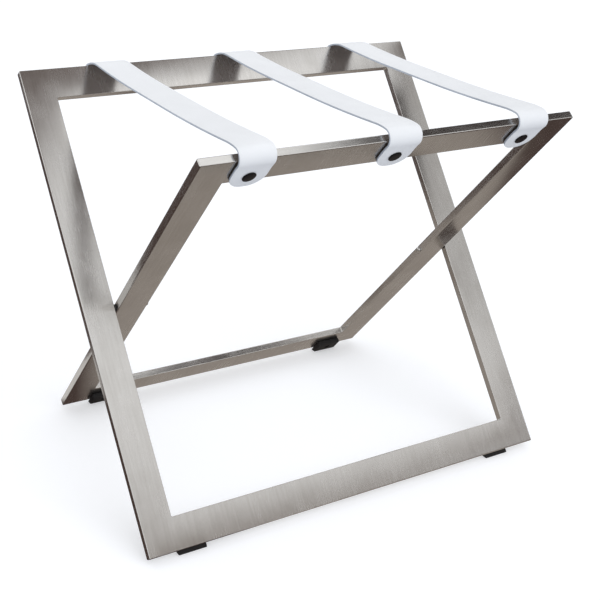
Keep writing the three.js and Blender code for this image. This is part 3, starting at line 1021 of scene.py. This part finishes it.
# %% Floor and surroundings
FLOOR_COLOUR = (0.68, 0.70, 0.74)
FLOOR_GLOW = 0.385
FLOOR_ROUGHNESS = 0.9
AIR_LIGHT = 0.84
FLOOR_SIZE = 12
FLOOR_DROP = 0.5 * MM


def seen_directly(tree):
    """1 for what the camera sees or what is mirrored or seen through, 0 for the light itself."""
    path = tree.nodes.new("ShaderNodeLightPath")
    value = path.outputs["Is Camera Ray"]
    for ray in ("Is Glossy Ray", "Is Transmission Ray"):
        value = calculate(tree, "MAXIMUM", value, path.outputs[ray])
    return value


clear()
bpy.ops.mesh.primitive_plane_add(size=FLOOR_SIZE, location=(0, 0, -FLOOR_DROP))
floor = named("studio_floor")
floor_paint, tree, shader = new_material("floor_paint")
shader.inputs["Base Color"].default_value = (*FLOOR_COLOUR, 1)
shader.inputs["Roughness"].default_value = FLOOR_ROUGHNESS
shader.inputs["Specular IOR Level"].default_value = 0
glow = add_node(tree, "ShaderNodeEmission")
tree.links.new(remap(tree, seen_directly(tree), 0, FLOOR_GLOW), glow.inputs["Strength"])
both = tree.nodes.new("ShaderNodeAddShader")
tree.links.new(shader.outputs[0], both.inputs[0])
tree.links.new(glow.outputs[0], both.inputs[1])
tree.links.new(both.outputs[0], tree.nodes["Material Output"].inputs["Surface"])
floor.data.materials.append(floor_paint)

world = bpy.data.worlds.new("studio_air")
bpy.context.scene.world = world
world.use_nodes = True
air = world.node_tree
background = air.nodes["Background"]
air.links.new(remap(air, seen_directly(air), AIR_LIGHT, 1), background.inputs["Strength"])
background.inputs["Color"].default_value = (1, 1, 1, 1)
print("floor and air ready")

# %% [markdown]
# Brushed steel shows what stands round it. As in a studio, cards that only the steel sees give it contrast.
# A card is a plane that glows. Its colour fades into another towards one edge, or all round, so that no
# hard line shows in the steel. In its own coordinates a card reaches half a unit to each side.

# %% Cards for the steel
CARD_HALF = 0.5
ROUND_FADE_START = 0.43
ROUND_FADE_END = 0.49


def card(name, middle, size, inside, outside, turn=0, soft=0.0, tilt=0):
    """A card seen only in reflections. It fades over a share of its depth, or all round if soft is 0."""
    clear()
    bpy.ops.mesh.primitive_plane_add(size=1, location=middle, rotation=(tilt, 0, turn))
    piece = named(name)
    piece.scale = (size[0], size[1], 1)
    material, tree, shader = new_material(name)
    tree.nodes.remove(shader)
    where = add_node(tree, "ShaderNodeTexCoord")
    if soft:
        split = add_node(tree, "ShaderNodeSeparateXYZ")
        tree.links.new(where.outputs["Object"], split.inputs[0])
        fade = remap(tree, split.outputs["Y"], 0, 1, CARD_HALF - soft, CARD_HALF)
    else:
        far = add_node(tree, "ShaderNodeVectorMath", operation="LENGTH")
        tree.links.new(where.outputs["Object"], far.inputs[0])
        fade = remap(tree, far.outputs["Value"], 0, 1, ROUND_FADE_START, ROUND_FADE_END)
    shine = add_node(tree, "ShaderNodeEmission")
    tree.links.new(blend_colours(tree, fade, inside, outside), shine.inputs["Color"])
    tree.links.new(shine.outputs[0], tree.nodes["Material Output"].inputs["Surface"])
    piece.data.materials.append(material)
    piece.visible_camera = False
    piece.visible_diffuse = False
    piece.visible_transmission = False
    piece.visible_shadow = False


# %% [markdown]
# Warm grey pools lie on a brown surround, for the faces that look down and for the legs' sides, with a pale
# patch at the left for the leg's foot. Dark flags hang over the rack: above the front rail and above both
# rear corners, with a low one for the rail that stands at the rear. A bright strip between them makes the
# rear rail shine. Out in front and out on the right, the air only fades to a grey, and low in front on the
# right stands a dark screen.

# %% Pools and flags
WHITE_AIR = (1, 1, 1)
POOL_GREY = (0.37, 0.33, 0.296)
PATCH_GREY = (0.75, 0.73, 0.71)
SURROUND_BROWN = (0.085, 0.06, 0.053)
FLAG_BROWN = (0.05, 0.042, 0.04)
CORNER_BROWN = (0.22, 0.19, 0.18)
FORWARD_GREY = (0.34, 0.305, 0.28)
RIGHT_GREY = (0.62, 0.61, 0.60)
REAR_SHINE = (1.4, 1.4, 1.4)
TO_LEFT = math.radians(90)
TO_FRONT_RIGHT = math.radians(206)
CORNERWISE = math.radians(45)
UPRIGHT = math.radians(90)

card("floor_surround", (0, 0, 0), (5, 5), SURROUND_BROWN, SURROUND_BROWN)
card("left_patch", (-0.335, 0.285, 0.3 * MM), (0.24, 0.24), PATCH_GREY, SURROUND_BROWN)
card("floor_pool", (0.20, 0.2, 0.5 * MM), (0.88, 1.8), POOL_GREY, SURROUND_BROWN)
card("rear_pool", (-0.16, 0.53, 0.7 * MM), (0.60, 0.42), POOL_GREY, SURROUND_BROWN)
card("low_flag", (0.275, -0.105, 0.60), (0.30, 0.31), FLAG_BROWN, FLAG_BROWN)
card("front_rail_flag", (0.34, -0.25, 0.80), (0.22, 0.60), FLAG_BROWN, WHITE_AIR, TO_LEFT, soft=0.23)
card("rear_left_flag", (-0.065, 0.135, 0.80), (1.1, 0.5), CORNER_BROWN, WHITE_AIR, TO_FRONT_RIGHT, soft=0.32)
card("rear_right_flag", (0.62, 0.05, 0.80), (0.16, 0.22), CORNER_BROWN, RIGHT_GREY)
card("rear_rail_shine", (0.2, -0.05, 0.79), (0.55, 0.09), REAR_SHINE, WHITE_AIR)
card("front_corner_flag", (1.6, -1.3, 0.80), (0.7, 0.7), CORNER_BROWN, FORWARD_GREY, TO_LEFT, soft=0.3)
card("right_flag", (1.15, -0.28, 0.81), (0.95, 1.3), RIGHT_GREY, WHITE_AIR, TO_LEFT, soft=0.115)
card("forward_flag", (0.5, -1.80, 0.82), (2.6, 1.8), FORWARD_GREY, WHITE_AIR, soft=0.36)
card(
    "low_screen",
    (1.2, -1.25, 0.35),
    (1.4, 0.7),
    SURROUND_BROWN,
    WHITE_AIR,
    CORNERWISE,
    soft=0.35,
    tilt=UPRIGHT,
)

# %% [markdown]
# One broad soft lamp, high in front, gives the straps their shading and the rack its shadow. It is as wide
# as a studio's softbox close by, and so far away that the floor is lit evenly.

# %% Lamp
LAMP_PLACE = Vector((0.5, -2.0, 2.6))
LAMP_TARGET = Vector((0, 0, 0.3))
LAMP_SPREAD = math.radians(50)
LAMP_POWER = 0.75

clear()
bpy.ops.object.light_add(type="SUN", location=LAMP_PLACE)
lamp = bpy.context.object
lamp.name = "soft_lamp"
lamp.data.angle = LAMP_SPREAD
lamp.data.energy = LAMP_POWER
lamp.rotation_euler = (LAMP_TARGET - LAMP_PLACE).to_track_quat("-Z", "Y").to_euler()
lamp.visible_glossy = False
bpy.context.scene.view_settings.view_transform = "Standard"
print("lamp", lamp.data.energy)
